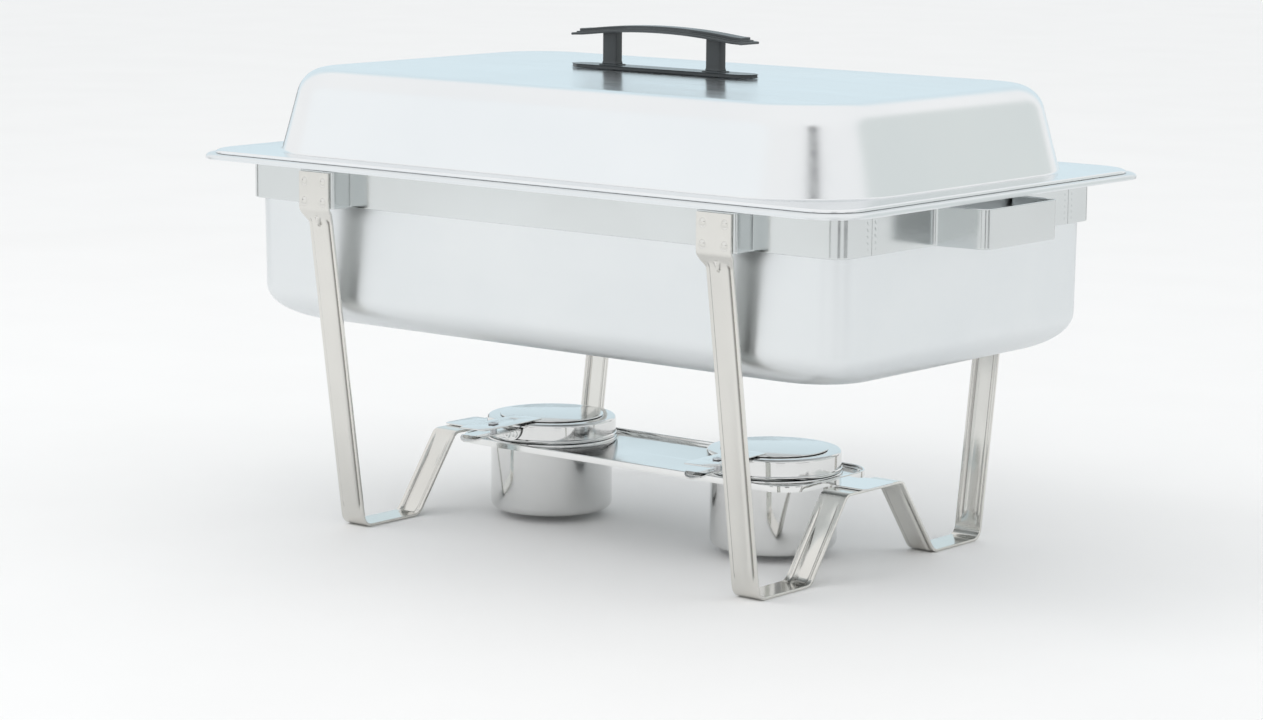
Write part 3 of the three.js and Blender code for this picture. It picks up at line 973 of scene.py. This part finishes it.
def pivot_rivet(name, place):
    """A hollow rivet, rolled over at its top."""
    low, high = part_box(f"{name}_pivot_rivet")
    shank = 2.2 * MM
    bore = 0.9 * MM
    head_low = 73.1 * MM
    profile = [
        (bore, low.z),
        (3 * MM, low.z),
        (4 * MM, low.z + 1 * MM),
        (shank, low.z + 1.2 * MM),
        (shank, 71.4 * MM),
    ]
    rolled = middle_line(
        [
            (shank, head_low),
            (4 * MM, head_low, 0.7 * MM),
            (3.4 * MM, high.z, 0.8 * MM),
            (1.4 * MM, high.z, 0.6 * MM),
            (1.2 * MM, 72 * MM),
        ],
        5,
    )
    profile += [(p.x, p.y) for p in rolled]
    profile.append((bore, low.z + 0.5 * MM))
    centre = place @ Matrix.Translation((0, PIVOT_Y, 0))
    part = moved(turned(profile, 40), centre)
    body = f"{name}_cap_body"
    piece(f"{name}_eyelet", part, ZINC, body, [f"{name}_pivot_rivet"], sharp=45)


def damper(name, place):
    """A disc under a flat lever with a rounded tail, a pivot hole and a slot."""
    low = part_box(f"{name}_damper")[0]
    disc = plate([circle(0, 0, 36.5 * MM)], low.z, 0.8 * MM)
    half = 12 * MM
    outline = middle_line(
        [
            (half, -27 * MM),
            (half, -82 * MM),
            (half - 1 * MM, -90 * MM, 2.5 * MM),
            (0, -90 * MM),
        ]
    )
    edge = outline + [Vector((-p.x, p.y)) for p in reversed(outline[:-1])]
    hole = circle(0, PIVOT_Y, 2.5 * MM, 32)
    slot = [(v.x - 2 * MM, v.y - 41 * MM) for v in rounded_ring(3.4 * MM, 0.6 * MM, 0.55 * MM, 0, 4)]
    lever = plate([[tuple(p) for p in edge], hole, slot], low.z + 0.8 * MM, 0.8 * MM)
    part = moved(joined(disc, lever), place)
    body = f"{name}_damper_body"
    piece(f"{name}_damper_plate", part, POLISHED, body, [f"{name}_damper"], sharp=40)


def hidden_fasteners():
    """The screws and washers under the cover keep their CAD shape with a better finish."""
    for name, _ in SIDES:
        for kind in ("screw", "washer"):
            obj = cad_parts[f"{name}_handle_{kind}"]
            obj.data.materials.clear()
            obj.data.materials.append(ZINC)


# ---------------------------------------------------------------- studio

def floor():
    """A wide pale floor, a hair below the feet."""
    size = 30
    below = 0.2 * MM
    mesh = bpy.data.meshes.new("studio_floor")
    corners = [(-size, -size, 0), (size, -size, 0), (size, size, 0), (-size, size, 0)]
    mesh.from_pydata(corners, [], [(0, 1, 2, 3)])
    mesh.materials.append(pale_floor())
    obj = bpy.data.objects.new("studio_floor", mesh)
    obj.location.z = -below
    bpy.context.scene.collection.objects.link(obj)


def reflector(name, azimuth, width, heights, tone):
    """An upright grey card that stands outside the picture, which only the steel mirrors."""
    away = 1.8
    angle = math.radians(azimuth)
    bottom, top = heights
    centre = Vector((away * math.cos(angle), away * math.sin(angle), bottom))
    along = Vector((-math.sin(angle), math.cos(angle), 0)) * width / 2
    rise = Vector((0, 0, top - bottom))
    corners = [centre - along, centre + along, centre + along + rise, centre - along + rise]
    mesh = bpy.data.meshes.new(name)
    mesh.from_pydata(corners, [], [(0, 1, 2, 3)])
    mesh.materials.append(grey_card(name, tone))
    obj = bpy.data.objects.new(name, mesh)
    obj.visible_camera = False
    obj.visible_diffuse = False
    obj.visible_shadow = False
    bpy.context.scene.collection.objects.link(obj)


def area_light(name, place, target, size, power, color):
    """A soft light that the steel doesn't mirror."""
    data = bpy.data.lights.new(name, "AREA")
    data.shape = "RECTANGLE"
    data.size, data.size_y = size
    data.energy = power
    data.color = color
    obj = bpy.data.objects.new(name, data)
    obj.location = place
    obj.rotation_euler = (Vector(target) - Vector(place)).to_track_quat("-Z", "Y").to_euler()
    obj.visible_glossy = False
    bpy.context.scene.collection.objects.link(obj)


def sky(base, lobes):
    """A pale surround with soft patches of colour, each an (azimuth, height, spread, colour).

    The camera itself sees only the base colour.
    """
    world = bpy.data.worlds.new("studio")
    world.use_nodes = True
    bpy.context.scene.world = world
    tree = world.node_tree
    tree.nodes.clear()
    output = tree.nodes.new("ShaderNodeOutputWorld")
    background = tree.nodes.new("ShaderNodeBackground")
    place = tree.nodes.new("ShaderNodeTexCoord")
    tree.links.new(background.outputs["Background"], output.inputs["Surface"])
    separate = tree.nodes.new("ShaderNodeSeparateXYZ")
    tree.links.new(place.outputs["Generated"], separate.inputs["Vector"])
    high = ranged(tree, separate.outputs["Z"], 0, 0.9, 0, 1)
    color = mixed(tree, high, *base)
    for azimuth, height, spread, tint in lobes:
        angle = math.radians(azimuth)
        rise = math.radians(height)
        flat = math.cos(rise)
        towards = (flat * math.cos(angle), flat * math.sin(angle), math.sin(rise))
        dot = tree.nodes.new("ShaderNodeVectorMath")
        dot.operation = "DOT_PRODUCT"
        dot.inputs[1].default_value = towards
        tree.links.new(place.outputs["Generated"], dot.inputs[0])
        near = math.cos(math.radians(spread * 0.6))
        reach = math.cos(math.radians(spread))
        patch = tree.nodes.new("ShaderNodeMapRange")
        patch.interpolation_type = "SMOOTHSTEP"
        patch.inputs["From Min"].default_value = reach
        patch.inputs["From Max"].default_value = near
        tree.links.new(dot.outputs["Value"], patch.inputs["Value"])
        color = mixed(tree, patch.outputs["Result"], color, tint)
    sight = tree.nodes.new("ShaderNodeLightPath")
    color = mixed(tree, sight.outputs["Is Camera Ray"], color, base[0])
    tree.links.new(color, background.inputs["Color"])
    background.inputs["Strength"].default_value = 1.0


def studio():
    floor()
    sky(
        ((0.98, 0.98, 0.98), (1.02, 1.02, 1.02)),
        (
            (129, 4, 38, (0.74, 0.87, 0.93)),
            (50, 12, 36, (0.77, 0.81, 0.8)),
            (-129, 10, 36, (1.02, 1.04, 1.05)),
        ),
    )
    # Upright steel mirrors the low cards as dark stripes, and a corner of the cover mirrors the high one.
    low = (0, 0.3)
    for name, azimuth, width, heights, tone in (
        ("reflector_high", -40, 0.36, (1, 1.9), 0.22),
        ("reflector_1", -40, 0.42, low, 0.3),
        ("reflector_2", -4, 0.7, low, 0.4),
        ("reflector_3", -88, 0.3, low, 0.45),
        ("reflector_4", 82, 0.3, low, 0.35),
        ("reflector_5", 150, 0.45, low, 0.3),
        ("reflector_6", -166, 0.35, low, 0.35),
    ):
        reflector(name, azimuth, width, heights, tone)
    area_light("key", (-1.2, -1.6, 2.4), (0, 0, 0.15), (1.6, 1.2), 12, (1, 0.99, 0.97))
    area_light("fill", (2.2, 0.8, 1.8), (0, 0, 0.15), (1.4, 1.2), 4, (0.97, 0.98, 1))


def camera():
    """The main view, whose directions are worked out from three angles in degrees."""
    azimuth = math.radians(39.36)
    elevation = math.radians(9.13)
    roll = math.radians(0.44)
    place = (1.48106, -1.83738, 0.49977)
    ahead = math.cos(elevation)
    forward = Vector((-math.sin(azimuth) * ahead, math.cos(azimuth) * ahead, -math.sin(elevation)))
    level = Vector((math.cos(azimuth), math.sin(azimuth), 0))
    over = level.cross(forward)
    right = math.cos(roll) * level + math.sin(roll) * over
    up = math.cos(roll) * over - math.sin(roll) * level
    data = bpy.data.cameras.new("camera")
    data.sensor_width = 36
    data.lens = 99
    obj = bpy.data.objects.new("camera", data)
    turn = Matrix((right, up, -forward)).transposed().to_4x4()
    obj.matrix_world = Matrix.Translation(place) @ turn
    bpy.context.scene.collection.objects.link(obj)
    bpy.context.scene.camera = obj


def build():
    water_pan()
    food_pan()
    cover()
    cover_handle()
    long_band("front_band_strip", "front_band", 0)
    long_band("rear_band_strip", "rear_band", math.pi)
    end_strip("right_end_grip", "right_end_strip", 0)
    end_strip("left_end_grip", "left_end_strip", math.pi)
    for name, side in SIDES:
        leg_strip(f"{name}_leg_pressing", f"{name}_leg_strip", side * LEG_X)
        place = holder_place(side)
        fuel_cup(name, place)
        fuel_cap(name, place)
        damper_bracket(name, place)
        pivot_rivet(name, place)
        damper(name, place)
    burner_shelf()
    hidden_fasteners()


build()
studio()
camera()
bpy.context.scene.view_settings.view_transform = "Standard"
